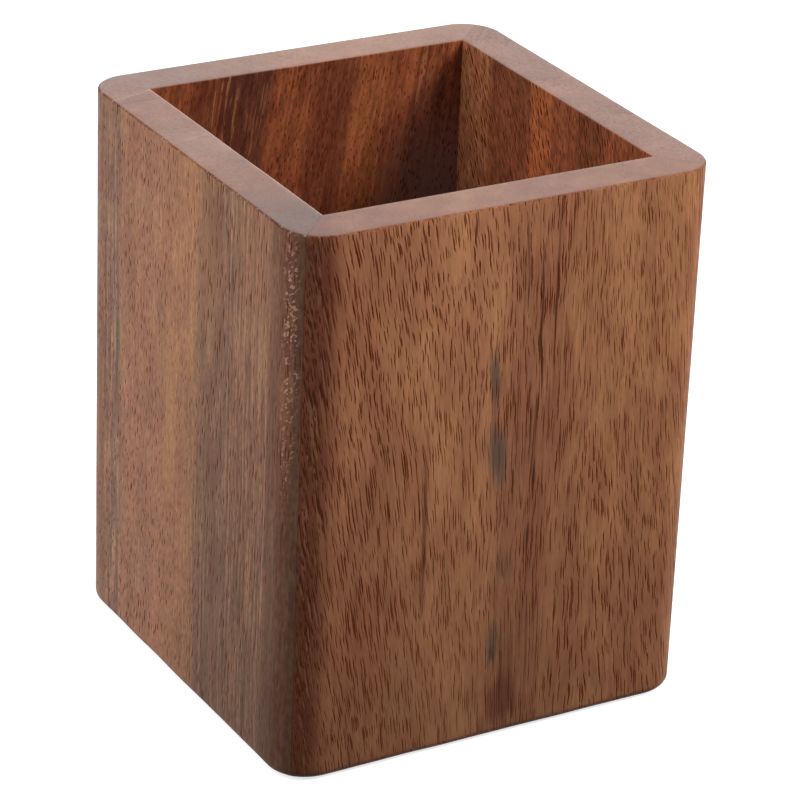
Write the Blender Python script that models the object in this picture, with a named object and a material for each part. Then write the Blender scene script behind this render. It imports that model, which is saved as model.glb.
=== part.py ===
"""Square wooden pen holder: four mitred wall boards glued round a tongued base panel.

Lengths are metres and +Z is up. The origin is the middle of the underside, and the front board faces -Y.
The grain of the walls runs upright, so each mitre is a long-grain glue joint.
"""

import math

import bmesh
import bpy

# Driving dimensions of the box
WIDTH = 0.080  # across the front, along X
DEPTH = 0.080  # front to back, along Y
HEIGHT = 0.100  # underside to rim
WALL = 0.0086  # thickness of the four wall boards
CORNER_RADIUS = 0.007  # rounding of the upright outer corners
RIM_EASE = 0.0004  # rounding of the rim's outer edge
MOUTH_EASE = 0.0003  # chamfer on the rim's inner edge
FOOT_EASE = 0.002  # rounding of the outer bottom edge

# Driving dimensions of the base panel, from the underside up
BASE_BELOW_TONGUE = 0.003
TONGUE_THICKNESS = 0.003
BASE_ABOVE_TONGUE = 0.002
TONGUE_LENGTH = 0.003  # how far the tongue reaches into each wall

# Gap between any two glued faces
GLUE_LINE = 0.0001

# Flats that make up the round shapes
CORNER_STEPS = 6  # on each board's half of an upright corner
EASE_STEPS = 4  # on the rim's and the foot's rounded edges

# How far a groove cutter runs past the board that it cuts
CUTTER_OVERRUN = 0.002

# Linear base colours of the boards and the roughness of their oiled finish
FRONT_COLOUR = (0.26, 0.105, 0.045)
RIGHT_COLOUR = (0.16, 0.060, 0.028)
BACK_COLOUR = (0.15, 0.050, 0.024)
LEFT_COLOUR = (0.21, 0.100, 0.058)
BASE_COLOUR = (0.19, 0.080, 0.040)
OIL_ROUGHNESS = 0.5


def clear_scene():
    for old in list(bpy.data.objects):
        bpy.data.objects.remove(old)


def wood(name, colour):
    """Oiled wood of one base colour."""
    material = bpy.data.materials.new(name)
    material.use_nodes = True
    shader = material.node_tree.nodes["Principled BSDF"]
    shader.inputs["Base Color"].default_value = (*colour, 1.0)
    shader.inputs["Roughness"].default_value = OIL_ROUGHNESS
    shader.inputs["Metallic"].default_value = 0.0
    return material


def loft(name, rings):
    """Closed object through rings of points that each go anticlockwise, seen from above, from the lowest up."""
    shape = bmesh.new()
    loops = [[shape.verts.new(point) for point in ring] for ring in rings]
    shape.faces.new(reversed(loops[0]))
    shape.faces.new(loops[-1])
    for lower, upper in zip(loops, loops[1:]):
        for i, corner in enumerate(lower):
            shape.faces.new((lower[i - 1], corner, upper[i], upper[i - 1]))
    mesh = bpy.data.meshes.new(name)
    shape.to_mesh(mesh)
    shape.free()
    made = bpy.data.objects.new(name, mesh)
    bpy.context.scene.collection.objects.link(made)
    return made


def round_inset(distance, radius):
    """How far a rounded edge draws a face in, at a distance along that face from the edge's other face."""
    if distance >= radius:
        return 0.0
    return radius - math.sqrt(radius**2 - (radius - distance) ** 2)


def wall_heights():
    """Heights of a wall's outlines: the steps of both rounded edges and the start of the mouth's chamfer."""
    steps = [1 - math.cos(math.radians(90) * i / EASE_STEPS) for i in range(EASE_STEPS + 1)]
    foot = [FOOT_EASE * step for step in steps]
    rim = [HEIGHT - RIM_EASE * step for step in steps]
    return sorted({*foot, *rim, HEIGHT - MOUTH_EASE})


def wall_outline(half_length, reach, z):
    """Plan of a wall that faces -Y at one height: outer face and half corners, mitred ends, inner face.

    half_length is from the box's middle to the outer corners along the board, and reach is to its outer face.
    """
    inset = round_inset(z, FOOT_EASE) + round_inset(HEIGHT - z, RIM_EASE)
    chamfer = max(0.0, z - (HEIGHT - MOUTH_EASE))
    half_gap = GLUE_LINE / 2
    radius = max(CORNER_RADIUS - inset, GLUE_LINE)
    centre_x = half_length - inset - radius
    centre_y = -reach + inset + radius
    # The mitre runs through the corner's centre, so turning by this angle moves half a glue line off it.
    sweep = math.radians(45) - math.asin(half_gap / radius)
    turns = [sweep * i / CORNER_STEPS for i in range(CORNER_STEPS + 1)]
    corner = [(centre_x + radius * math.sin(turn), centre_y - radius * math.cos(turn)) for turn in turns]
    inner_y = -reach + WALL - chamfer
    inner_x = half_length - (inner_y + reach) - half_gap * math.sqrt(2)
    right = [*corner, (inner_x, inner_y)]
    left = [(-x, y) for x, y in reversed(right)]
    return [(x, y, z) for x, y in left + right]


def cut_groove(wall, half_length, reach):
    """Cuts the groove for the base panel's tongue along the wall's inner face, out through both mitres."""
    inner_y = -reach + WALL
    low_y = inner_y - TONGUE_LENGTH - GLUE_LINE
    high_y = inner_y + CUTTER_OVERRUN
    half_x = half_length + CUTTER_OVERRUN
    plan = [(-half_x, low_y), (half_x, low_y), (half_x, high_y), (-half_x, high_y)]
    low_z = BASE_BELOW_TONGUE - GLUE_LINE
    high_z = BASE_BELOW_TONGUE + TONGUE_THICKNESS + GLUE_LINE
    cutter = loft(wall.name + "_groove_cutter", [[(x, y, z) for x, y in plan] for z in (low_z, high_z)])
    cutter.hide_render = True
    cutter.display_type = "WIRE"
    cutter.parent = wall
    groove = wall.modifiers.new("groove", "BOOLEAN")
    groove.operation = "DIFFERENCE"
    groove.object = cutter


def wall_board(name, turn, half_length, reach, colour):
    """Wall that faces -Y, turned about the box's axis by a number of right angles."""
    wall = loft(name, [wall_outline(half_length, reach, z) for z in wall_heights()])
    cut_groove(wall, half_length, reach)
    wall.rotation_euler.z = math.radians(90) * turn
    wall.data.materials.append(wood(name + "_wood", colour))
    wall.data.shade_smooth()
    wall.data.set_sharp_from_angle(angle=math.radians(30))


def base_panel():
    """Floor of the cup, flush with the underside, with a tongue all round that sits in the walls' grooves."""
    inside = (WIDTH / 2 - WALL, DEPTH / 2 - WALL)
    tongue_low = BASE_BELOW_TONGUE
    tongue_high = tongue_low + TONGUE_THICKNESS
    top = tongue_high + BASE_ABOVE_TONGUE
    levels = [
        (0.0, -GLUE_LINE),
        (tongue_low, -GLUE_LINE),
        (tongue_low, TONGUE_LENGTH),
        (tongue_high, TONGUE_LENGTH),
        (tongue_high, -GLUE_LINE),
        (top, -GLUE_LINE),
    ]
    signs = [(-1, -1), (1, -1), (1, 1), (-1, 1)]
    rings = [
        [(sx * (inside[0] + grow), sy * (inside[1] + grow), z) for sx, sy in signs]
        for z, grow in levels
    ]
    panel = loft("base_panel", rings)
    panel.data.materials.append(wood("base_panel_wood", BASE_COLOUR))


def main():
    clear_scene()
    wall_board("front_wall", 0, WIDTH / 2, DEPTH / 2, FRONT_COLOUR)
    wall_board("right_wall", 1, DEPTH / 2, WIDTH / 2, RIGHT_COLOUR)
    wall_board("back_wall", 2, WIDTH / 2, DEPTH / 2, BACK_COLOUR)
    wall_board("left_wall", 3, DEPTH / 2, WIDTH / 2, LEFT_COLOUR)
    base_panel()


main()
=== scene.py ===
"""Looks of a square wooden pen holder: five oiled boards, a pale floor, soft light and the camera.

Lengths are metres in the mesh code and millimetres in the wood's own texture space. +Z is up and the front
board faces -Y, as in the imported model.
"""

import math
from dataclasses import dataclass, field

import bmesh
import bpy
from mathutils import Matrix, Vector, noise


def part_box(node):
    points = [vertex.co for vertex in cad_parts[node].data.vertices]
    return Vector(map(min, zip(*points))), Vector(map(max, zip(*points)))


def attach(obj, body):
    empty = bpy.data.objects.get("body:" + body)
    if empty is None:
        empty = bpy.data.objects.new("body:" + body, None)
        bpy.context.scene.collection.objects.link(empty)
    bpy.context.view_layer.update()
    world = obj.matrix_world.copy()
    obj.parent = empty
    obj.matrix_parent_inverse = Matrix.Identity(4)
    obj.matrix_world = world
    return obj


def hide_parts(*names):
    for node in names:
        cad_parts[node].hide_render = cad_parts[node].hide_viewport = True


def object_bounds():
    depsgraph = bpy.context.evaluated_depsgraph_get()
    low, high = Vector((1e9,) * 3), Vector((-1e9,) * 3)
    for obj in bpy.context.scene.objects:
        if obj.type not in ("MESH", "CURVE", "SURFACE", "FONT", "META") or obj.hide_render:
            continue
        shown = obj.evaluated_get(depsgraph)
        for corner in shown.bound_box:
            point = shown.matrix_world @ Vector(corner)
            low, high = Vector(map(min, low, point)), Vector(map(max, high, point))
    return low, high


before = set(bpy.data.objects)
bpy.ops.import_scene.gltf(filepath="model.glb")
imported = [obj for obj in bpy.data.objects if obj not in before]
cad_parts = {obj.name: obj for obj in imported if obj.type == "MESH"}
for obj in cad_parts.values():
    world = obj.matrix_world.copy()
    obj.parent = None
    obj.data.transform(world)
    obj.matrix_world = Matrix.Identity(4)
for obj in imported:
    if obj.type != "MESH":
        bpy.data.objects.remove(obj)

cad_low, cad_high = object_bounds()

# Sizes that the frame gives
HALF_WIDTH = cad_high.x
HALF_DEPTH = cad_high.y
HEIGHT = cad_high.z
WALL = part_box("front_wall")[1].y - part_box("front_wall")[0].y
PANEL_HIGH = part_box("base_panel")[1]
BASE_TOP = PANEL_HIGH.z

# Sizes that the frame doesn't give by itself
CORNER_RADIUS = 0.007
RIM_EASE = 0.0004
MOUTH_EASE = 0.0003
FOOT_EASE = 0.002
TONGUE_LOW = 0.003
TONGUE_HIGH = 0.006
SEAM = 0.00004  # what shows of a glue line

# How finely the boards are meshed
STRAIGHT_STEPS = 66
CORNER_STEPS = 9
FACE_STEPS = 60
RIM_STEPS = 8
EASE_STEPS = 6
MOUTH_STEPS = 4
PANEL_STEPS = 24
SHARP_ANGLE = 35.0  # degrees from which an edge is shaded sharp

# Heights in the texture map: the rolled-out board takes most of it, with a strip above for each mitred end
ROLLED_HEIGHT = 0.96
LEFT_END_LOW = ROLLED_HEIGHT + 0.005
RIGHT_END_LOW = ROLLED_HEIGHT + 0.022
END_HEIGHT = 0.012

# How far hand sanding leaves the faces and edges from true
FACE_WAVE = 0.00004
FACE_WAVE_LENGTH = 0.014
EDGE_WEAR = 0.12  # share by which an eased edge's radius wanders
EDGE_WEAR_LENGTH = 0.009
HELD_SHARE = 0.2  # share of a board's half length, next to a mitre, over which both die away
RIM_SEED = 1.3
FOOT_SEED = 7.9
FACE_SEED = 4.1
SEED_STEP = 0.37  # how far one unit of seed moves along the noise's third axis

# Camera: angles in degrees, lengths in metres, lens for a 36 mm sensor in millimetres
CAMERA_AZIMUTH = -30.51
CAMERA_ELEVATION = 25.05
CAMERA_ROLL = 2.38
CAMERA_DISTANCE = 0.6613
CAMERA_TARGET = Vector((-0.0004, -0.0055, 0.0500))
CAMERA_LENS = 170.0

# Floor
FLOOR_HALF = 4.0
FLOOR_DROP = 0.0002  # gap under the cup
FLOOR_GREY = (0.45, 0.45, 0.45, 1.0)
FLOOR_ROUGHNESS = 0.9
FLOOR_GLOW = 0.7

# Light: white balance of the lamps, and what the surroundings add
WHITE = (1.0, 1.0, 1.0)
WARM = (1.0, 0.97, 0.93)
SOFT_WARM = (1.03, 1.0, 0.95)
SKY = (0.85, 1.0, 1.2, 1.0)
SKY_STRENGTH = 0.36


def tone(red, green, blue):
    """Linear colour of a display colour given from 0 to 255, by the display standard's own curve."""
    def linear(value):
        share = value / 255
        return share / 12.92 if share <= 0.04045 else ((share + 0.055) / 1.055) ** 2.4
    return (linear(red), linear(green), linear(blue), 1.0)


# Shapes


def wander(place, length, seed):
    """Smooth noise from -1 to 1 that changes over about a length."""
    return noise.noise(Vector((place[0] / length + seed, place[1] / length, seed * SEED_STEP)))


def arc(steps):
    """Sine and cosine at even steps through a quarter turn, both ends included."""
    turns = [math.radians(90) * i / steps for i in range(steps + 1)]
    return [(math.sin(turn), math.cos(turn)) for turn in turns]


def spread(start, end, steps):
    """Even values from start to end, both left out."""
    return [start + (end - start) * i / steps for i in range(1, steps)]


def wall_section(rim_ease, foot_ease):
    """Closed outline of a wall as (depth from the outer face, height), from the foot round over the rim."""
    tongue_reach = PANEL_HIGH.x - (HALF_WIDTH - WALL)
    groove = WALL - tongue_reach
    return [
        # Rounded foot
        *((foot_ease * (1 - s), foot_ease * (1 - c)) for s, c in arc(EASE_STEPS)),
        # Outer face
        *((0.0, z) for z in spread(foot_ease, HEIGHT - rim_ease, FACE_STEPS)),
        # Rim with its rounded outer edge and its eased mouth
        *((rim_ease * (1 - c), HEIGHT - rim_ease * (1 - s)) for s, c in arc(EASE_STEPS)),
        *((depth, HEIGHT) for depth in spread(rim_ease, WALL - MOUTH_EASE, RIM_STEPS)),
        *((WALL - MOUTH_EASE * (1 - s), HEIGHT - MOUTH_EASE * (1 - c)) for s, c in arc(MOUTH_STEPS)),
        # Inner face
        *((WALL, z) for z in spread(HEIGHT - MOUTH_EASE, TONGUE_HIGH, FACE_STEPS)),
        # Groove for the base panel's tongue
        (WALL, TONGUE_HIGH),
        (groove, TONGUE_HIGH),
        (groove, TONGUE_LOW),
        (WALL, TONGUE_LOW),
        # Underside
        (WALL, 0.0),
        *((depth, 0.0) for depth in spread(WALL, foot_ease, EASE_STEPS)),
    ]


def wall_stations(half_length, reach):
    """Pairs of outer and inner plan points along a wall that faces -Y, from its left mitre to its right."""
    straight = half_length - CORNER_RADIUS
    last_turn = math.radians(45) - SEAM / 2 / CORNER_RADIUS
    mitre_x = straight + CORNER_RADIUS * math.sin(math.radians(45))
    inner_share = (half_length - WALL) / mitre_x
    turns = [last_turn * i / CORNER_STEPS for i in range(CORNER_STEPS + 1)]
    corner = [
        (straight + CORNER_RADIUS * math.sin(turn), -reach + CORNER_RADIUS * (1 - math.cos(turn)))
        for turn in turns
    ]
    flat = [(x, -reach) for x in spread(-straight, straight, STRAIGHT_STEPS)]
    outer = [(-x, y) for x, y in reversed(corner)] + flat + corner
    return [(Vector(point), Vector((point[0] * inner_share, -reach + WALL))) for point in outer]


def finished(name, shape, material):
    """Object of a bmesh, shaded smooth between its sharp edges, that rides the body of the model."""
    mesh = bpy.data.meshes.new(name)
    bmesh.ops.recalc_face_normals(shape, faces=shape.faces)
    shape.to_mesh(mesh)
    shape.free()
    mesh.shade_smooth()
    mesh.set_sharp_from_angle(angle=math.radians(SHARP_ANGLE))
    mesh.materials.append(material)
    made = bpy.data.objects.new(name, mesh)
    bpy.context.scene.collection.objects.link(made)
    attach(made, "root")
    return made


def shares(points):
    """How far along a line each of its points lies, from 0 to 1."""
    run = [0.0]
    for a, b in zip(points, points[1:]):
        run.append(run[-1] + math.dist(a, b))
    return [length / run[-1] for length in run]


def wall_rows(shape, turn, half_length, stations):
    """Points of a wall, a row round its section at each station. Wear and waves die away at the mitres."""
    quarter = Matrix.Rotation(math.radians(90) * turn, 3, "Z")
    rows = []
    for outer, inner in stations:
        to_mitre = 1 - min(1.0, abs(outer.x) / half_length)
        hold = min(1.0, to_mitre / HELD_SHARE)
        rim_ease = RIM_EASE * (1 + EDGE_WEAR * hold * wander(outer, EDGE_WEAR_LENGTH, turn + RIM_SEED))
        foot_ease = FOOT_EASE * (1 + EDGE_WEAR * hold * wander(outer, EDGE_WEAR_LENGTH, turn + FOOT_SEED))
        row = []
        for depth, z in wall_section(rim_ease, foot_ease):
            wave = FACE_WAVE * hold * (1 + wander((outer.x, z), FACE_WAVE_LENGTH, turn + FACE_SEED))
            sunk = min(1.0, z / FOOT_EASE) * wave
            plan = outer.lerp(inner, min(1.0, (depth + sunk) / WALL))
            row.append(shape.verts.new(quarter @ Vector((plan.x, plan.y, z))))
        rows.append(row)
    return rows


def wall_board(node, turn, half_length, reach, material):
    """Wall with worn edges that stands for a node of the model, turned by a number of right angles."""
    shape = bmesh.new()
    stations = wall_stations(half_length, reach)
    rows = wall_rows(shape, turn, half_length, stations)

    # The texture map is the board rolled out: along it in one direction, round its section in the other.
    section = wall_section(RIM_EASE, FOOT_EASE)
    round_share = [share * ROLLED_HEIGHT for share in shares(section + section[:1])]
    along_share = shares([outer for outer, inner in stations])
    map_layer = shape.loops.layers.uv.new("OFBake")
    for j in range(len(rows) - 1):
        left, right = rows[j], rows[j + 1]
        for i in range(len(left)):
            k = (i + 1) % len(left)
            face = shape.faces.new((left[i], right[i], right[k], left[k]))
            corners = [(j, i), (j + 1, i), (j + 1, i + 1), (j, i + 1)]
            for loop, (column, line) in zip(face.loops, corners):
                loop[map_layer].uv = (along_share[column], round_share[line])

    # Mitred ends
    back_turn = Matrix.Rotation(math.radians(90) * turn, 3, "Z").inverted()
    for row, lowest in ((rows[0], LEFT_END_LOW), (list(reversed(rows[-1])), RIGHT_END_LOW)):
        for loop in shape.faces.new(row).loops:
            depth = reach + (back_turn @ loop.vert.co).y
            loop[map_layer].uv = (loop.vert.co.z / HEIGHT, lowest + END_HEIGHT * depth / WALL)
    board = finished(node + "_board", shape, material)
    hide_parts(node)


def panel_ring(half_x, half_y, z):
    """Square ring of points at a height, anticlockwise from above."""
    corners = [(-1, -1), (1, -1), (1, 1), (-1, 1)]
    ring = []
    for (ax, ay), (bx, by) in zip(corners, corners[1:] + corners[:1]):
        for i in range(PANEL_STEPS):
            share = i / PANEL_STEPS
            ring.append((half_x * (ax + (bx - ax) * share), half_y * (ay + (by - ay) * share), z))
    return ring


def base_board(material):
    """Floor of the cup with the tongue that the walls' grooves hold."""
    inside_x = HALF_WIDTH - WALL
    inside_y = HALF_DEPTH - WALL
    reach = PANEL_HIGH.x - inside_x - SEAM
    levels = [
        (0.0, -SEAM - MOUTH_EASE),
        (MOUTH_EASE, -SEAM),
        (TONGUE_LOW + SEAM, -SEAM),
        (TONGUE_LOW + SEAM, reach),
        (TONGUE_HIGH - SEAM, reach),
        (TONGUE_HIGH - SEAM, -SEAM),
        (BASE_TOP, -SEAM),
    ]
    shape = bmesh.new()
    rings = []
    for z, grow in levels:
        ring = panel_ring(inside_x + grow, inside_y + grow, z)
        rings.append([shape.verts.new(point) for point in ring])
    for lower, upper in zip(rings, rings[1:]):
        for i in range(len(lower)):
            shape.faces.new((lower[i - 1], lower[i], upper[i], upper[i - 1]))
    shape.faces.new(reversed(rings[0]))
    shape.faces.new(rings[-1])
    board = finished("base_panel_board", shape, material)
    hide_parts("base_panel")


# Wood


class Nodes:
    """Adds nodes to a material. Sockets given as inputs are linked, and numbers and colours are set."""

    def __init__(self, tree):
        self.tree = tree

    def add(self, kind, inputs, **settings):
        node = self.tree.nodes.new(kind)
        for name, value in settings.items():
            setattr(node, name, value)
        for key, value in inputs.items():
            if isinstance(value, bpy.types.NodeSocket):
                self.tree.links.new(value, node.inputs[key])
            else:
                node.inputs[key].default_value = value
        return node

    def math(self, operation, *values):
        return self.add("ShaderNodeMath", dict(enumerate(values)), operation=operation).outputs[0]

    def total(self, *values):
        result = values[0]
        for value in values[1:]:
            result = self.math("ADD", result, value)
        return result

    def product(self, *values):
        result = values[0]
        for value in values[1:]:
            result = self.math("MULTIPLY", result, value)
        return result

    def vector(self, x, y, z):
        return self.add("ShaderNodeCombineXYZ", {0: x, 1: y, 2: z}).outputs[0]

    def share(self, value, start, end):
        """How far a value has gone from start to end, from 0 to 1."""
        inputs = {"Value": value, "From Min": start, "From Max": end}
        return self.add("ShaderNodeMapRange", inputs).outputs[0]

    def step(self, value, start, end, low=0.0, high=1.0):
        """Smooth step from low to high while the value goes from start to end."""
        inputs = {"Value": value, "From Min": start, "From Max": end, "To Min": low, "To Max": high}
        return self.add("ShaderNodeMapRange", inputs, interpolation_type="SMOOTHSTEP").outputs[0]

    def noise(self, place, detail=2.0):
        inputs = {"Vector": place, "Scale": 1.0, "Detail": detail, "Roughness": 0.5}
        return self.add("ShaderNodeTexNoise", inputs, noise_dimensions="3D")

    def cells(self, x, y):
        inputs = {"Vector": self.vector(x, y, 0.0), "Scale": 1.0, "Randomness": 1.0}
        return self.add("ShaderNodeTexVoronoi", inputs, voronoi_dimensions="2D", feature="F1")

    def mix(self, factor, first, second, blend="MIX"):
        inputs = {0: factor, 6: first, 7: second}
        return self.add("ShaderNodeMix", inputs, data_type="RGBA", blend_type=blend).outputs[2]

    def tinted(self, colour, tint):
        return self.mix(1.0, colour, tint, "MULTIPLY")

    def shaded(self, colour, value):
        """Colour made lighter or darker by a number."""
        return self.tinted(colour, self.vector(value, value, value))

    def ramp(self, value, stops):
        """Colour that goes through stops of (position, colour)."""
        node = self.add("ShaderNodeValToRGB", {0: value})
        elements = node.color_ramp.elements
        while len(elements) < len(stops):
            elements.new(0.5)
        for element, (position, colour) in zip(elements, stops):
            element.position = position
            element.color = colour
        return node.outputs[0]

    def bands(self, place, stops):
        """Colour that changes along the board through stops of (place, colour)."""
        low = stops[0][0]
        high = stops[-1][0]
        positions = [((at - low) / (high - low), colour) for at, colour in stops]
        return self.ramp(self.share(place, low, high), positions)

    def zones(self, place, stops):
        """Number that changes along the board through stops of (place, number from 0 to 1)."""
        return self.bands(place, [(at, (value, value, value, 1.0)) for at, value in stops])


@dataclass
class Figure:
    """Noise in the wood: features per millimetre across the grain, length over width, and a seed."""

    fineness: float
    stretch: float
    seed: float
    detail: float = 2.0


@dataclass
class Spot:
    """Soft patch on a board's faces, placed along the board and by height. Lengths are millimetres."""

    along: float
    height: float
    half_width: float
    half_height: float
    colour: tuple
    strength: float
    lean: float = 0.0
    pattern: str = "plain"  # or long "lines" or short "streaks" along the grain, or "flakes" across it
    inside: bool = False  # whether the patch stays near the inner face


def all_along(value):
    """Zones of one value from end to end of a board."""
    return [(-40, value), (40, value)]


@dataclass
class Look:
    """How one board's wood looks. Lengths are millimetres and slopes are sideways travel per fall.

    Zones are lists of (place along the board, value there), in order.
    """

    # Place and colours
    along: str  # axis along the board, across the grain
    depth: str  # axis through the board
    inward: float  # sign of that axis from the outer face inwards
    seed: float
    bands: list  # (place along the board, colour), in order
    end_colour: tuple  # what end grain tends to: its own even colour, made paler and greyer with painted sheen
    end_share: float = 0.75  # how far it goes there
    grain: str = "Z"  # axis that the grain runs along

    # Growth bands
    painted_sheen: float = 0.0  # painted sheen: grey that lifts the bands' colours in place of a reflection of the pale floor
    shade: float = 1.0  # how bright the board is
    outer_shade: float = 1.0  # how bright its outer face is, as a share of that; set below 1, it paints light onto the inner face
    painted_foot_shade: list = field(default_factory=lambda: all_along(1.0))  # how bright the foot is: painted shade, where the lamps' light falls off towards it
    band_depth: float = 0.0  # depth at which the bands' places are given
    band_lean: float = 0.0
    band_skew: float = 0.3  # how far the bands slant through the board's thickness
    band_wander: float = 3.0
    line_zones: list = field(default_factory=lambda: all_along(0.05))  # contrast of growth lines
    mottle: float = 0.06  # contrast of the broad patches

    # Fibre
    fibre: float = 0.09  # contrast of the fibre
    short_fibre: float = 0.05  # contrast of the short fibre
    short_scale: float = 2.4  # short fibres per millimetre across the grain
    short_stretch: float = 5.0  # length of the short fibre over its width
    ray: float = 0.0  # contrast of the short slanting flecks of the rays

    # Vessels
    pore_cell: float = 0.5  # spacing
    pore_width: float = 0.46  # width of the widest
    pore_sparse: float = 0.55  # how wide they are where they are sparse, as a share
    pore_colour: tuple = (0.062, 0.013, 0.003, 1.0)
    pore_zones: list = field(default_factory=lambda: all_along(1.0))  # how wide they are, as a share
    rise_zones: list = field(default_factory=lambda: all_along(0.06))  # slope through the face
    lean_zones: list = field(default_factory=lambda: all_along(0.1))  # lean
    vessel_glint: float = 0.0  # strength of the painted highlights beside them, on the lit side of their hollows

    # Finish, patches, wear and a painted highlight
    specular: float = 0.05  # specular level of the thin oil finish
    spots: list = field(default_factory=list)
    end_spots: list = field(default_factory=list)  # patches in the end grain
    end_lines: list = field(default_factory=list)  # places of pale growth lines in it
    inner_edge_glint: float = 0.0  # how pale the painted highlight along the rim's inner edge is
    chipped: float = 0.08  # how pale the chips along its outer edge are


# Lengths in the wood's own space, in millimetres
MM = 1000.0  # millimetres in a metre
WALL_MM = WALL * MM
HEIGHT_MM = HEIGHT * MM
REACH_MM = HALF_DEPTH * MM  # from the cup's middle to a wall's outer face

# Noise runs from 0 to 1 about its middle, and mostly keeps to its usual range
NOISE_MIDDLE = 0.5
USUAL_RANGE = (0.3, 0.7)

# Figures of the wood
SLOW_BEND = Figure(0.035, 2.2, 0)  # bends of the grain over the whole board
QUICK_BEND = Figure(0.11, 2.0, 5)  # bends over a few millimetres
FIBRE = Figure(1.6, 35.0, 21, 3.0)
GROWTH_LINES = Figure(1.5, 30.0, 9)
LINE_BREAKS = Figure(0.4, 9.0, 91)  # where growth lines fade
PATCHES = Figure(0.16, 5.0, 14)  # broad light and dark
CROWDING = Figure(0.22, 3.0, 33)  # where vessels crowd
RAGGED = Figure(1.3, 2.5, 65, 1.0)  # sides of the vessels
FILLING = Figure(1.6, 4.0, 77, 1.0)  # finish that fills them
CLUSTERS = Figure(0.5, 1.5, 57)  # clusters of flakes
CHIPS = Figure(1.2, 1.0, 61)
SHORT_FIBRE_SEED = 83

# Flecks that climb across the grain: the direction across them, how many in a millimetre, and their length
CLIMB_ALONG = 0.45
CLIMB_UP = 0.85
RAY_FINENESS = 1.3
RAY_LENGTH = 2.2
RAY_SEED = 71
FLAKE_FINENESS = 1.9
FLAKE_LENGTH = 0.7

# Hair lines in a spot: per millimetre, and length over spacing
HAIRS = {"lines": (1.7, 45.0), "streaks": (1.3, 10.0)}

# How far the grain bends, in millimetres
QUICK_SHARE = 0.3  # quick part of a band's wander
FLOW_BEND = 2.0
FLOW_WIGGLE = 1.2
SINK_BEND = 2.0
SINK_WIGGLE = 0.5
RAGGED_BEND = 0.35
MOST_LEAN = 0.6  # widest lean that a zone may give
LINE_DEPTH = 0.2  # how fast growth lines change through the board, as a share of across it

# Upright part of a face's normal, between which an eased edge starts, it ends, and end grain shows
EDGE_STARTS = (0.1, 0.4)
EDGE_ENDS = (0.98, 0.85)
END_SHOWS = (0.5, 0.95)
END_CLEARS = 0.96  # share of the side grain's marks that end grain loses

# Depths between which the outer half, the inside and the strip along the mouth that takes a painted highlight
# begin
OUTER_HALF = (0.6 * WALL_MM, 0.4 * WALL_MM)
INSIDE = (0.4 * WALL_MM, 0.8 * WALL_MM)
GLINT_STRIP = (WALL_MM - 0.4, WALL_MM - 0.2)

# Heights over which the painted shade at the foot fades out, and between which the chips of the rim begin
FOOT_FADE = (-20.0, HEIGHT_MM)
CHIPS_START = (0.5 * HEIGHT_MM, 0.6 * HEIGHT_MM)

# Vessels: shares of the widest, and edges in radii from the middle
CROWDED = (0.36, 0.6)  # noise
RADII = (0.22, 0.5)
LEAST_RADIUS = 0.001
PORE_EDGE = (1.05, 0.8)
HALO_EDGE = (1.75, 0.8)
HALO_STRENGTH = 0.3
GLINT_EDGE = (1.1, 0.5)
GLINT_OFFSET = 0.32  # cells from a vessel to its painted highlight
PORE_DARK = (0.82, 1.0)
FILLED = (0.36, 0.5)  # noise
FILLED_DARK = (0.72, 1.0)
PIT_CHANCE = (0.995, 0.996)  # a few vessels show as pits in end grain
PIT_DARK = 0.8

# Spots: edges in half sizes from the middle, how far the fibre frays them, and what their patterns keep
SPOT_EDGE = (1.1, 0.3)
SPOT_FRAY = 1.2
HAIR_EDGE = (0.54, 0.62)
FLAKE_EDGE = (0.53, 0.60)
CLUSTER_EDGE = (0.38, 0.52)
CLUSTER_STRENGTH = (0.2, 1.0)

# Growth lines: noise at which they swing, turn light and break, and how pale those in end grain are
LINE_SWING = (0.38, 0.62)
LINE_LIGHT = (0.54, 0.66)
LINE_BROKEN = (0.35, 0.6)
LINE_KEPT = (0.35, 1.0)
END_LINE_EDGE = (0.4, 0.1)
END_LINE_PALE = 0.17
END_LINE_PATCHES = (0.35, 0.55)
END_LINE_KEPT = (0.5, 1.0)
END_PATCHES = (0.93, 1.07)
END_RINGS = (0.97, 1.03)

# Edges: fibre at which the outer ones darken and the inner one's painted highlight shows, and noise at which
# they chip
EDGE_FIBRE = (0.35, 0.65)
EDGE_DARKENING = (0.3, 0.9)
LEAST_GLINT = 0.4
CHIP_EDGE = (0.56, 0.62)

# Surface
FIBRE_ROUGHNESS = (0.40, 0.52)
PORE_ROUGHNESS = 0.2
END_SMOOTHNESS = 0.08
FIBRE_RELIEF = 0.4  # height of the fibre over a vessel's depth
RELIEF = 0.00006
RELIEF_STRENGTH = 0.5

# Tints that multiply the wood's colour
BARE_TINT = (1.05, 1.06, 0.98, 1.0)  # wood with few vessels
CROWDED_TINT = (0.93, 0.87, 0.86, 1.0)  # wood with many
LIGHT_LINE_AND_GLINT_TINT = (1.6, 1.6, 1.55, 1.0)  # light growth lines, and painted highlights beside vessels
HALO_TINT = (0.62, 0.42, 0.32, 1.0)  # wood round a vessel
OUTER_EDGE_TINT = (0.55, 0.42, 0.36, 1.0)  # outer eased edges, darker

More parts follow.
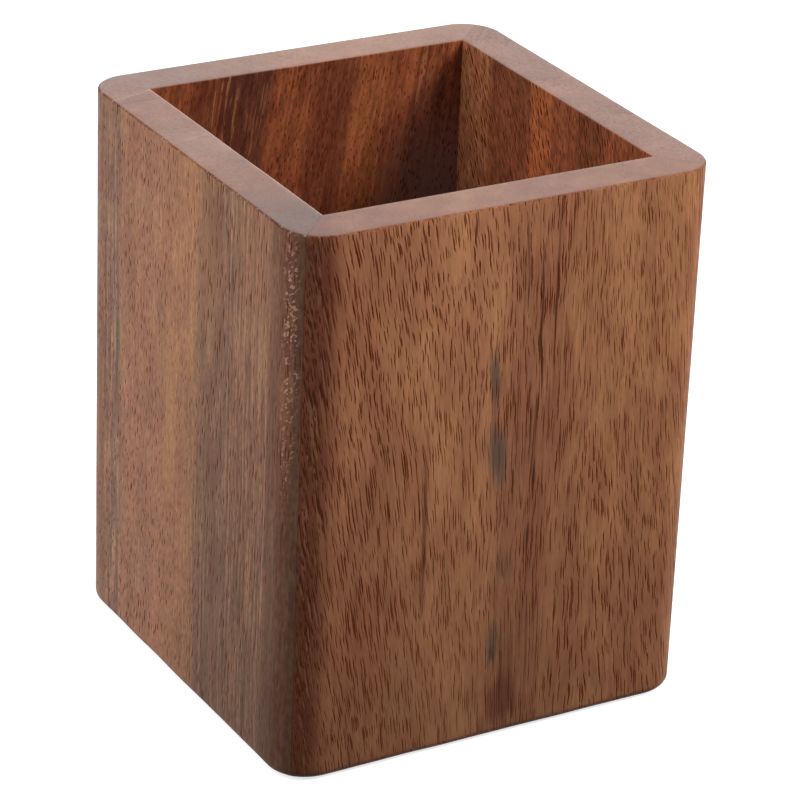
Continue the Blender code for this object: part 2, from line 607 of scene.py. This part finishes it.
# Tones of the wood, as display colours
HONEY = tone(151, 102, 71)
TAN = tone(139, 91, 64)
APRICOT = tone(147, 97, 62)
OCHRE = tone(141, 94, 65)
CLAY = tone(133, 86, 62)
ROSE = tone(143, 94, 65)
GREIGE = tone(126, 87, 64)
MAUVE = tone(103, 67, 50)
TAUPE = tone(121, 81, 56)
FAWN = tone(126, 83, 55)
RUSSET = tone(104, 59, 41)
MAHOGANY = tone(58, 30, 22)
GARNET = tone(54, 23, 12)
HAZEL = tone(99, 56, 38)
FALLOW = tone(122, 77, 53)
SIENNA = tone(116, 65, 43)
STREAK = tone(150, 98, 64)
UMBER = tone(85, 46, 19)
LOAM = tone(100, 56, 29)
AMBER = tone(130, 74, 45)
CHESTNUT = tone(123, 67, 43)
WALNUT = tone(104, 55, 37)
PLUM = tone(86, 47, 35)
# Painted light: greyer, cooler wood for the cool fill light in the back board's shaded inner corner
PAINTED_COOL_FILL = tone(120, 84, 74)
PALE = tone(178, 134, 113)
STAIN = tone(86, 66, 53)
SOOT = tone(62, 48, 40)
LIGHT_LINE = tone(170, 124, 92)
# Pale of the rim's chips, and of the painted highlight along its inner edge
CHIP_AND_GLINT_PALE = tone(205, 172, 152)
# End grain's own even colour, made paler and greyer with painted sheen
END_ASH = tone(84, 64, 57)
END_BUFF = tone(124, 91, 72)
END_MIST = tone(104, 83, 75)
END_BROWN = tone(97, 77, 71)
END_GREY = tone(97, 68, 58)
END_PINK = tone(103, 79, 70)
END_ROSE = tone(113, 86, 74)


class Wood:
    """Nodes of one board's solid wood: places in the board, and colour, roughness and bump made from them."""

    def __init__(self, name, look):
        self.material = bpy.data.materials.new(name)
        self.material.use_nodes = True
        self.nodes = Nodes(self.material.node_tree)
        self.look = look
        self.find_places()
        self.find_grain()
        self.find_vessels()

    def noise_node(self, across, deep, figure):
        """Noise of a figure, drawn out along the grain."""
        nodes = self.nodes
        place = nodes.vector(
            nodes.math("MULTIPLY_ADD", across, figure.fineness, self.look.seed + figure.seed),
            nodes.product(deep, figure.fineness),
            nodes.product(self.height, figure.fineness / figure.stretch),
        )
        return nodes.noise(place, figure.detail)

    def noise(self, across, deep, figure):
        return self.noise_node(across, deep, figure).outputs[0]

    def bends(self, figure):
        """Two noises of a figure that swing about zero, for sideways and for depth."""
        nodes = self.nodes
        colour = self.noise_node(self.along, self.depth, figure).outputs[1]
        parts = nodes.add("ShaderNodeSeparateColor", {0: colour}).outputs
        return [nodes.math("SUBTRACT", part, NOISE_MIDDLE) for part in (parts[0], parts[1])]

    def slanted(self, fineness, length, seed):
        """Noise of short flecks that climb across the grain."""
        nodes = self.nodes
        slant = nodes.math("MULTIPLY_ADD", self.height, CLIMB_UP, nodes.product(self.along, CLIMB_ALONG))
        place = nodes.vector(
            nodes.math("MULTIPLY_ADD", slant, fineness, self.look.seed + seed),
            nodes.product(self.along, 1 / length),
            nodes.product(self.depth, 1 / length),
        )
        return nodes.noise(place).outputs[0]

    def find_places(self):
        """Places in millimetres along, through and up the board, and where a face cuts across the grain."""
        nodes, look = self.nodes, self.look
        place = nodes.add("ShaderNodeTexCoord", {}).outputs["Object"]
        place = nodes.add("ShaderNodeVectorMath", {0: place, "Scale": MM}, operation="SCALE").outputs[0]
        axes = nodes.add("ShaderNodeSeparateXYZ", {0: place}).outputs
        self.along = axes[look.along]
        self.depth = nodes.math("MULTIPLY_ADD", axes[look.depth], look.inward, REACH_MM)
        self.height = axes[look.grain]
        facing = nodes.add("ShaderNodeNewGeometry", {}).outputs["True Normal"]
        facing = nodes.add("ShaderNodeSeparateXYZ", {0: facing}).outputs[look.grain]
        upward = nodes.math("ABSOLUTE", facing)
        self.end_grain = nodes.step(upward, *END_SHOWS)
        self.side_grain = nodes.math("SUBTRACT", 1.0, nodes.product(self.end_grain, END_CLEARS))
        eased = nodes.product(nodes.step(upward, *EDGE_STARTS), nodes.step(upward, *EDGE_ENDS))
        self.outer_edge = nodes.product(eased, nodes.step(self.depth, *OUTER_HALF))
        # Strip along the mouth that takes the painted highlight
        self.inner_edge = nodes.product(
            nodes.step(self.depth, *GLINT_STRIP), nodes.step(upward, *EDGE_STARTS))

    def find_grain(self):
        """Growth bands, which run through the board, and the fibre's flow, which leans in its own way."""
        nodes, look = self.nodes, self.look
        sideways, inwards = self.bends(SLOW_BEND)
        self.wiggle, dive = self.bends(QUICK_BEND)
        fall = nodes.math("SUBTRACT", HEIGHT_MM, self.height)
        self.ring = nodes.total(
            self.along,
            nodes.product(fall, look.band_lean),
            nodes.math("MULTIPLY_ADD", self.depth, -look.band_skew, look.band_skew * look.band_depth),
            nodes.product(sideways, look.band_wander),
            nodes.product(self.wiggle, QUICK_SHARE * look.band_wander),
        )
        # A zone's number runs from 0 to 1, so leans to both sides are fitted into that and taken out again.
        lean_stops = [(at, 0.5 + 0.5 * value / MOST_LEAN) for at, value in look.lean_zones]
        lean = nodes.math("MULTIPLY_ADD", nodes.zones(self.along, lean_stops), 2 * MOST_LEAN, -MOST_LEAN)
        above_middle = nodes.math("SUBTRACT", self.height, HEIGHT_MM / 2)
        self.flow = nodes.total(
            self.along,
            nodes.product(above_middle, lean),
            nodes.product(sideways, FLOW_BEND),
            nodes.product(self.wiggle, FLOW_WIGGLE),
        )
        self.sink = nodes.total(
            self.depth,
            nodes.product(above_middle, nodes.zones(self.along, look.rise_zones)),
            nodes.product(inwards, SINK_BEND),
            nodes.product(dive, SINK_WIGGLE),
        )
        self.fibre = self.noise(self.flow, self.sink, FIBRE)
        self.lines = self.noise(self.ring, nodes.product(self.depth, LINE_DEPTH), GROWTH_LINES)
        self.patches = self.noise(self.ring, self.depth, PATCHES)

    def find_vessels(self):
        """Tubes along the grain, which a face cuts into dashes and an end into dots."""
        nodes, look = self.nodes, self.look
        self.crowded = nodes.step(self.noise(self.flow, self.sink, CROWDING), *CROWDED)
        spacing = 1 / look.pore_cell
        ragged = nodes.math("SUBTRACT", self.noise(self.flow, self.depth, RAGGED), NOISE_MIDDLE)
        x = nodes.product(nodes.math("MULTIPLY_ADD", ragged, RAGGED_BEND, self.flow), spacing)
        y = nodes.product(self.sink, spacing)
        cells = nodes.cells(x, y)
        chance = nodes.add("ShaderNodeSeparateColor", {0: cells.outputs["Color"]}).outputs
        width = nodes.math("MULTIPLY_ADD", self.crowded, 1 - look.pore_sparse, look.pore_sparse)
        width = nodes.product(nodes.zones(self.along, look.pore_zones), width)
        radius = nodes.product(nodes.step(chance[0], 0.0, 1.0, *RADII), width, look.pore_width * spacing)
        radius = nodes.math("MAXIMUM", radius, LEAST_RADIUS)
        off = nodes.math("DIVIDE", cells.outputs["Distance"], radius)
        self.pore = nodes.step(off, *PORE_EDGE)
        self.halo = nodes.step(off, *HALO_EDGE, 0.0, HALO_STRENGTH)
        filled = self.noise(self.flow, self.depth, FILLING)
        self.pore_depth = nodes.product(
            nodes.step(chance[1], 0.0, 1.0, *PORE_DARK), nodes.step(filled, *FILLED, *FILLED_DARK))
        self.pit = nodes.product(self.pore, nodes.step(chance[2], *PIT_CHANCE))
        # Where the painted highlight beside each vessel lies
        beside = nodes.cells(nodes.math("ADD", x, GLINT_OFFSET), y)
        self.beside = nodes.step(nodes.math("DIVIDE", beside.outputs["Distance"], radius), *GLINT_EDGE)

    def spot_mask(self, spot):
        """Where a soft patch lies, with the grain showing in its edge."""
        nodes = self.nodes
        rise = nodes.math("SUBTRACT", self.height, spot.height)
        across = nodes.math("SUBTRACT", self.along, spot.along)
        across = nodes.math("MULTIPLY_ADD", rise, spot.lean, across)
        across = nodes.math("ADD", self.wiggle, across)
        place = nodes.vector(
            nodes.product(across, 1 / spot.half_width), nodes.product(rise, 1 / spot.half_height), 0.0)
        reach = nodes.add("ShaderNodeVectorMath", {0: place}, operation="LENGTH").outputs["Value"]
        fray = nodes.math("SUBTRACT", self.fibre, NOISE_MIDDLE)
        reach = nodes.math("MULTIPLY_ADD", fray, SPOT_FRAY, reach)
        mask = nodes.step(reach, *SPOT_EDGE, 0.0, spot.strength)
        if spot.inside:
            mask = nodes.product(mask, nodes.step(self.depth, *INSIDE))
        seed = spot.along + spot.strength
        if spot.pattern in HAIRS:
            hair = self.noise(self.flow, self.depth, Figure(*HAIRS[spot.pattern], seed, 1.0))
            mask = nodes.product(mask, nodes.step(hair, *HAIR_EDGE))
        if spot.pattern == "flakes":
            flakes = nodes.step(self.slanted(FLAKE_FINENESS, FLAKE_LENGTH, seed), *FLAKE_EDGE)
            cluster = self.noise(self.along, self.depth, CLUSTERS)
            mask = nodes.product(mask, flakes, nodes.step(cluster, *CLUSTER_EDGE, *CLUSTER_STRENGTH))
        return mask

    def brightness(self):
        """Light and dark along the grain, with painted shade at the foot and, where the outer face is set
        darker, painted light on the inner face.
        """
        nodes, look = self.nodes, self.look
        short = self.noise(
            self.flow, self.depth, Figure(look.short_scale, look.short_stretch, SHORT_FIBRE_SEED))
        parts = [(self.patches, look.mottle), (self.fibre, look.fibre), (short, look.short_fibre)]
        if look.ray > 0:
            parts.append((self.slanted(RAY_FINENESS, RAY_LENGTH, RAY_SEED), look.ray))
        # Painted shade: the board darker towards its foot, where the lamps' light falls off
        foot = nodes.product(nodes.zones(self.along, look.painted_foot_shade), look.shade)
        bright = nodes.product(
            nodes.step(self.height, *FOOT_FADE, foot, look.shade),
            # Painted light: the inner face brighter than the outer one where outer_shade is below 1
            nodes.step(self.depth, 0.0, WALL_MM, look.outer_shade, 1.0),
        )
        for value, contrast in parts:
            bright = nodes.product(bright, nodes.step(value, *USUAL_RANGE, 1 - contrast, 1 + contrast))
        swing = nodes.step(self.lines, *LINE_SWING, -1.0, 1.0)
        return nodes.product(bright, nodes.math("MULTIPLY_ADD", self.lined, swing, 1.0))

    def band_colour(self):
        """Growth bands with their lines, patches and fibre, and the spots that lie on them."""
        nodes, look = self.nodes, self.look
        broken = nodes.step(self.noise(self.ring, self.depth, LINE_BREAKS), *LINE_BROKEN, *LINE_KEPT)
        self.lined = nodes.product(nodes.zones(self.ring, look.line_zones), broken, self.side_grain)
        colour = nodes.bands(self.ring, look.bands)
        # Painted sheen: a grey lift in place of a reflection of the pale floor
        colour = nodes.mix(1.0, colour, (look.painted_sheen, look.painted_sheen, look.painted_sheen, 1.0), "ADD")
        colour = nodes.tinted(colour, nodes.mix(self.crowded, BARE_TINT, CROWDED_TINT))
        colour = nodes.shaded(colour, self.brightness())
        light = nodes.product(nodes.step(self.lines, *LINE_LIGHT), self.lined)
        colour = nodes.mix(light, colour, nodes.tinted(colour, LIGHT_LINE_AND_GLINT_TINT))
        for spot in look.spots:
            colour = nodes.mix(self.spot_mask(spot), colour, spot.colour)
        return colour

    def with_vessels(self, colour):
        """Adds the vessels, the darker wood round them and the painted highlights beside them."""
        nodes, look = self.nodes, self.look
        # Painted highlight beside each vessel, on the lit side of its hollow
        if look.vessel_glint > 0:
            vessel_glint = nodes.product(self.beside, look.vessel_glint, self.side_grain)
            colour = nodes.mix(vessel_glint, colour, nodes.tinted(colour, LIGHT_LINE_AND_GLINT_TINT))
        around = nodes.tinted(colour, HALO_TINT)
        colour = nodes.mix(nodes.product(self.halo, self.side_grain), colour, around)
        dark = nodes.product(self.pore, self.pore_depth, self.side_grain)
        return nodes.mix(dark, colour, look.pore_colour)

    def with_end_grain(self, colour):
        """Adds end grain, more even and paler with painted sheen, with faint rings, a few pits and a few pale
        growth lines.
        """
        nodes, look = self.nodes, self.look
        end = nodes.mix(look.end_share, colour, look.end_colour)
        for spot in look.end_spots:
            end = nodes.mix(self.spot_mask(spot), end, spot.colour)
        rings = nodes.product(
            nodes.step(self.patches, *USUAL_RANGE, *END_PATCHES),
            nodes.step(self.lines, *USUAL_RANGE, *END_RINGS),
        )
        end = nodes.shaded(end, rings)
        end = nodes.mix(nodes.product(self.pit, PIT_DARK), end, look.pore_colour)
        colour = nodes.mix(self.end_grain, colour, end)
        for place in look.end_lines:
            off = nodes.math("ABSOLUTE", nodes.math("SUBTRACT", self.ring, place))
            pale = nodes.product(
                nodes.step(off, *END_LINE_EDGE, 0.0, END_LINE_PALE),
                self.end_grain,
                nodes.step(self.patches, *END_LINE_PATCHES, *END_LINE_KEPT),
            )
            colour = nodes.mix(pale, colour, LIGHT_LINE)
        return colour

    def with_edge_wear_and_glint(self, colour):
        """Darkens the outer edges, chips the rim's, and paints a pale highlight along its inner edge."""
        nodes, look = self.nodes, self.look
        darker_edge = nodes.product(self.outer_edge, nodes.step(self.fibre, *EDGE_FIBRE, *EDGE_DARKENING))
        colour = nodes.mix(darker_edge, colour, nodes.tinted(colour, OUTER_EDGE_TINT))
        chips = nodes.product(
            self.outer_edge,
            nodes.step(self.noise(self.along, self.depth, CHIPS), *CHIP_EDGE, 0.0, look.chipped),
            nodes.step(self.height, *CHIPS_START),
        )
        colour = nodes.mix(chips, colour, CHIP_AND_GLINT_PALE)
        # Painted highlight: a pale line along the rim's inner edge
        glint = nodes.step(self.fibre, *EDGE_FIBRE, LEAST_GLINT * look.inner_edge_glint, look.inner_edge_glint)
        return nodes.mix(nodes.product(self.inner_edge, glint), colour, CHIP_AND_GLINT_PALE)

    def finish(self):
        """Links colour, roughness and bump to the shader."""
        nodes, links = self.nodes, self.material.node_tree.links
        shader = self.material.node_tree.nodes["Principled BSDF"]
        colour = self.with_end_grain(self.with_vessels(self.band_colour()))
        links.new(self.with_edge_wear_and_glint(colour), shader.inputs["Base Color"])
        shader.inputs["Specular IOR Level"].default_value = self.look.specular
        rough = nodes.step(self.fibre, *USUAL_RANGE, *FIBRE_ROUGHNESS)
        rough = nodes.math("MULTIPLY_ADD", self.pore, PORE_ROUGHNESS, rough)
        rough = nodes.math("MULTIPLY_ADD", self.end_grain, -END_SMOOTHNESS, rough)
        links.new(rough, shader.inputs["Roughness"])
        hollow = nodes.math("SUBTRACT", nodes.product(self.fibre, FIBRE_RELIEF), self.pore)
        hollow = nodes.product(hollow, self.side_grain)
        inputs = {"Strength": RELIEF_STRENGTH, "Distance": RELIEF, "Height": hollow}
        bump = nodes.add("ShaderNodeBump", inputs)
        links.new(bump.outputs[0], shader.inputs["Normal"])
        return self.material


FRONT = Look(
    along="X", depth="Y", inward=1.0, seed=3.0,
    bands=[(-40, RUSSET), (-35, RUSSET), (-31.5, TAN), (-22, TAN), (-14, HONEY),
           (-4, HONEY), (2, CLAY), (9, CLAY), (13, OCHRE), (40, OCHRE)],
    end_colour=END_BROWN,
    # Painted shade: darker towards the foot
    painted_foot_shade=[(-40, 0.64), (8, 0.64), (20, 0.74), (40, 0.74)],
    # Painted highlight along the rim's inner edge
    inner_edge_glint=0.15,
    band_wander=4.0,
    mottle=0.05,
    pore_cell=0.39, pore_width=0.33, pore_sparse=0.74, vessel_glint=0.32, specular=0.03, short_fibre=0.08,
    pore_colour=(0.060, 0.010, 0.001, 1.0),
    rise_zones=[(-40, 0.064), (-30, 0.064), (-18, 0.062), (-8, 0.056), (0, 0.05), (4, 0.04), (9, 0.04),
                (14, 0.05), (24, 0.058), (40, 0.058)],
    pore_zones=[(-40, 0.8), (-34, 0.9), (-31, 1.0), (-22, 1.0), (-17, 0.88), (-12, 0.8), (0, 0.85),
                (10, 0.85), (16, 0.84), (26, 0.84), (40, 0.78)],
    lean_zones=[(-40, 0.2), (-24, 0.15), (-8, 0.09), (5, 0.025), (10, 0.0), (14, 0.02), (22, 0.08),
                (40, 0.15)],
    spots=[
        Spot(-35.9, 60.0, 3.2, 75.0, GARNET, 0.85, pattern="lines"),
        Spot(-35.5, 55.0, 3.0, 70.0, FALLOW, 0.9, pattern="lines"),
        Spot(5.5, 74.0, 5.0, 28.0, GARNET, 0.8, pattern="lines"),
        Spot(5.0, 12.0, 6.0, 20.0, GARNET, 0.28, pattern="lines"),
        Spot(-2.6, 69.0, 1.4, 7.5, STAIN, 0.9, lean=0.12),
        Spot(-1.3, 54.8, 2.5, 8.0, STAIN, 0.95, lean=0.1),
        Spot(-0.3, 18.5, 1.9, 5.5, STAIN, 0.95),
        Spot(-0.5, 16.6, 0.8, 2.4, SOOT, 0.8),
        Spot(1.5, 33.0, 2.5, 4.0, STAIN, 0.35, lean=0.2),
        Spot(2.0, 7.0, 4.0, 6.0, MAHOGANY, 0.45),
        Spot(-15.0, 45.0, 0.6, 22.0, MAHOGANY, 0.6),
        Spot(6.0, 49.0, 0.4, 4.5, MAHOGANY, 0.95),
        Spot(5.5, 38.0, 0.35, 4.0, MAHOGANY, 0.9),
        Spot(8.6, 82.0, 0.35, 22.0, MAHOGANY, 0.5),
    ],
)
LEFT = Look(
    along="Y", depth="X", inward=1.0, seed=11.0,
    bands=[(-40, UMBER), (-37.1, UMBER), (-36.6, LOAM), (-31, LOAM), (-29.5, FAWN), (-18, FAWN),
           (-16, TAUPE), (-6, TAUPE), (-3, APRICOT), (7, APRICOT), (10, ROSE), (24, ROSE),
           (26, GREIGE), (29, GREIGE), (31, FAWN), (33, GREIGE), (36, TAUPE), (40, TAUPE)],
    end_colour=END_GREY, end_share=0.85,
    # Painted shade: darker towards the foot, most towards the front corner
    painted_foot_shade=[(-40, 0.55), (-24, 0.55), (-12, 0.56), (-4, 0.74), (4, 0.84), (10, 0.97), (16, 1.0),
                (40, 1.0)],
    band_wander=2.2, band_skew=0.27,
    line_zones=[(-40, 0.08), (-31, 0.18), (-29, 0.3), (-16.5, 0.3), (-6, 0.22), (0, 0.08), (24, 0.08),
                (27, 0.35), (30.5, 0.35), (33, 0.15), (40, 0.12)],
    mottle=0.09, fibre=0.09, short_fibre=0.19, short_scale=1.6, short_stretch=2.6, ray=0.02,
    # Painted sheen lifts this board's colours
    pore_cell=0.85, pore_width=0.5, vessel_glint=0.55, specular=0.06, painted_sheen=0.024,
    pore_colour=(0.078, 0.022, 0.006, 1.0),
    rise_zones=[(-40, 0.1), (-30, 0.12), (0, 0.21), (40, 0.33)],
    pore_zones=[(-40, 0.6), (-30, 0.8), (-17, 0.85), (-14, 1.0), (-6, 0.9), (0, 0.55), (8, 0.75),
                (20, 0.8), (40, 0.6)],
    lean_zones=all_along(0.04),
    # Painted highlight along the rim's inner edge, and pale chips along its outer edge
    inner_edge_glint=0.4, chipped=0.2,
    spots=[
        Spot(-26.0, 92.0, 6.0, 26.0, HONEY, 0.25),
        Spot(-9.0, 88.0, 6.0, 24.0, APRICOT, 0.45),
        Spot(-11.5, 93.0, 4.0, 9.0, MAUVE, 0.3),
        Spot(-12.0, 72.0, 3.4, 10.0, MAUVE, 0.4),
        Spot(-9.5, 62.0, 3.0, 6.0, MAUVE, 0.6),
        Spot(-11.0, 48.0, 4.2, 9.0, MAUVE, 0.7),
        Spot(-12.5, 30.0, 3.4, 9.0, MAUVE, 0.6),
        Spot(-12.0, 10.0, 4.0, 12.0, MAUVE, 0.5),
        Spot(-35.9, 60.0, 1.8, 50.0, UMBER, 0.6, pattern="flakes"),
        Spot(-35.8, 80.0, 1.9, 30.0, PALE, 0.75, pattern="flakes"),
        Spot(26.8, 100.0, 0.35, 3.0, MAHOGANY, 0.9),
        Spot(26.0, 55.0, 0.7, 18.0, STAIN, 0.5),
        Spot(32.6, 45.0, 0.7, 30.0, AMBER, 0.5),
    ],
    end_spots=[
        Spot(-38.0, 100.0, 22.0, 30.0, END_ASH, 1.0),
        Spot(4.0, 100.0, 9.0, 30.0, END_ROSE, 0.5),
        Spot(38.0, 100.0, 9.0, 30.0, END_MIST, 0.5),
    ],
    end_lines=[6.5, 28.8],
)
BACK_LEAN = 0.139  # of the bands and streaks on the back board
BACK = Look(
    along="X", depth="Y", inward=-1.0, seed=23.0,
    bands=[(-40, CHESTNUT), (-23, CHESTNUT), (-21, WALNUT), (-17, WALNUT), (-15.3, PLUM), (-7.5, PLUM),
           (-5.8, CHESTNUT), (1.0, CHESTNUT), (3, WALNUT), (9, WALNUT), (12, AMBER), (16, AMBER),
           (18, CHESTNUT), (22.5, CHESTNUT), (23.8, WALNUT), (25, CHESTNUT), (40, CHESTNUT)],
    band_depth=WALL_MM,
    end_colour=END_ROSE, end_share=0.85,
    shade=0.84,
    band_lean=BACK_LEAN, band_wander=1.8,
    line_zones=[(-40, 0.1), (-22, 0.15), (-20, 0.35), (-16, 0.35), (-14, 0.2), (-6, 0.16), (22, 0.16),
                (24.5, 0.3), (40, 0.15)],
    mottle=0.1, fibre=0.1, short_fibre=0.2, short_scale=1.8, short_stretch=3.0,
    pore_cell=0.68, pore_width=0.42, vessel_glint=0.25,
    rise_zones=all_along(0.3),
    pore_zones=[(-40, 0.7), (-10, 0.7), (-7, 1.0), (2, 1.0), (6, 0.8), (40, 0.75)],
    lean_zones=all_along(-0.14),
    spots=[
        # Painted light: cool fill light in the shaded lower corner of the inner face
        Spot(28.0, 62.0, 16.0, 30.0, PAINTED_COOL_FILL, 1.0, inside=True),
        Spot(-18.0, 88.0, 3.6, 26.0, STREAK, 0.65, -BACK_LEAN, "streaks", True),
        Spot(-19.0, 88.0, 3.6, 26.0, PLUM, 0.7, -BACK_LEAN, "streaks", True),
        Spot(-11.0, 90.0, 3.0, 16.0, STREAK, 0.35, -BACK_LEAN, "streaks", True),
        Spot(23.0, 94.0, 2.6, 14.0, STREAK, 0.4, -BACK_LEAN, "streaks", True),
    ],
    end_spots=[
        Spot(8.0, 100.0, 14.0, 30.0, END_BUFF, 0.45),
        Spot(-30.0, 100.0, 16.0, 30.0, END_MIST, 0.7),
    ],
)
RIGHT = Look(
    along="Y", depth="X", inward=-1.0, seed=31.0,
    bands=[(-40, SIENNA), (-18, SIENNA), (-16, HAZEL), (-9, HAZEL), (-7, SIENNA), (-0.5, SIENNA),
           (1, AMBER), (6.3, AMBER), (6.8, SIENNA), (9, HAZEL), (20, HAZEL), (22, FALLOW), (29, FALLOW),
           (40, SIENNA)],
    band_depth=WALL_MM,
    end_colour=END_PINK, end_share=0.85,
    # Painted light: the inner face a quarter brighter than the outer one, for light it lacks inside the cup
    shade=1.25, outer_shade=0.82,
    band_wander=1.2,
    line_zones=all_along(0.08),
    fibre=0.08, short_fibre=0.3, short_scale=1.5, short_stretch=3.0,
    pore_cell=0.78, pore_width=0.58, vessel_glint=0.9,
    rise_zones=all_along(0.3),
    pore_zones=[(-40, 0.8), (-17, 0.8), (-15, 1.0), (-9, 1.0), (-7, 0.65), (0, 0.7), (2, 1.0), (7, 0.95),
                (9, 0.7), (20, 0.75), (22, 1.0), (40, 1.0)],
    lean_zones=[(-40, -0.25), (0, -0.3), (40, -0.48)],
)
BASE = Look(
    along="Y", depth="Z", inward=1.0, grain="X", seed=47.0,
    bands=[(-40, TAN), (-10, CLAY), (10, TAN), (40, CLAY)],
    end_colour=END_BROWN,
    pore_cell=0.4, pore_width=0.33,
    pore_zones=all_along(0.85),
)


# Surroundings


def floor():
    """Plain pale floor that the cup stands on."""
    material = bpy.data.materials.new("pale_floor")
    material.use_nodes = True
    shader = material.node_tree.nodes["Principled BSDF"]
    shader.inputs["Base Color"].default_value = FLOOR_GREY
    shader.inputs["Emission Color"].default_value = (*WHITE, 1.0)
    shader.inputs["Emission Strength"].default_value = FLOOR_GLOW
    shader.inputs["Roughness"].default_value = FLOOR_ROUGHNESS
    shader.inputs["Specular IOR Level"].default_value = 0.0
    mesh = bpy.data.meshes.new("floor")
    corners = [(-1, -1), (1, -1), (1, 1), (-1, 1)]
    mesh.from_pydata([(x * FLOOR_HALF, y * FLOOR_HALF, 0) for x, y in corners], [], [(0, 1, 2, 3)])
    mesh.materials.append(material)
    made = bpy.data.objects.new("floor", mesh)
    bpy.context.scene.collection.objects.link(made)
    made.location.z = -FLOOR_DROP
    made.visible_diffuse = False


def softbox(name, place, size, watts, colour):
    """Square area light of a colour at a place, turned to the middle of the cup."""
    lamp = bpy.data.lights.new(name, "AREA")
    lamp.shape = "SQUARE"
    lamp.size = size
    lamp.energy = watts
    lamp.color = colour
    made = bpy.data.objects.new(name, lamp)
    made.location = place
    middle = Vector((0.0, 0.0, HEIGHT / 2))
    made.rotation_euler = (middle - Vector(place)).to_track_quat("-Z", "Y").to_euler()
    bpy.context.scene.collection.objects.link(made)


def surroundings():
    """Floor, even light all round and four soft lamps."""
    floor()
    world = bpy.data.worlds.new("studio")
    world.use_nodes = True
    background = world.node_tree.nodes["Background"]
    background.inputs["Color"].default_value = SKY
    background.inputs["Strength"].default_value = SKY_STRENGTH
    bpy.context.scene.world = world
    softbox("key", place=(0.33, -0.31, 0.45), size=0.25, watts=4.9, colour=WARM)
    softbox("side", place=(-0.75, 0.10, 0.65), size=0.7, watts=7.9, colour=SOFT_WARM)
    softbox("back", place=(0.55, 0.94, 0.60), size=0.8, watts=6.0, colour=WHITE)
    softbox("top", place=(0.0, 0.0, 0.9), size=0.3, watts=2.2, colour=WHITE)
    bpy.context.scene.view_settings.view_transform = "Standard"


def camera():
    """Camera of the photograph: turned about the cup, raised and rolled."""
    azimuth = math.radians(CAMERA_AZIMUTH)
    elevation = math.radians(CAMERA_ELEVATION)
    roll = math.radians(CAMERA_ROLL)
    back = Vector((
        math.sin(azimuth) * math.cos(elevation),
        -math.cos(azimuth) * math.cos(elevation),
        math.sin(elevation),
    ))
    level = Vector((math.cos(azimuth), math.sin(azimuth), 0.0))
    upright = back.cross(level)
    right = level * math.cos(roll) + upright * math.sin(roll)
    up = upright * math.cos(roll) - level * math.sin(roll)
    lens = bpy.data.cameras.new("camera")
    lens.lens = CAMERA_LENS
    made = bpy.data.objects.new("camera", lens)
    turned = Matrix((right, up, back)).transposed().to_4x4()
    made.matrix_world = Matrix.Translation(CAMERA_TARGET + back * CAMERA_DISTANCE) @ turned
    bpy.context.scene.collection.objects.link(made)
    bpy.context.scene.camera = made


def main():
    wall_board("front_wall", 0, HALF_WIDTH, HALF_DEPTH, Wood("front_wood", FRONT).finish())
    wall_board("right_wall", 1, HALF_DEPTH, HALF_WIDTH, Wood("right_wood", RIGHT).finish())
    wall_board("back_wall", 2, HALF_WIDTH, HALF_DEPTH, Wood("back_wood", BACK).finish())
    wall_board("left_wall", 3, HALF_DEPTH, HALF_WIDTH, Wood("left_wood", LEFT).finish())
    base_board(Wood("base_wood", BASE).finish())
    surroundings()
    camera()


main()
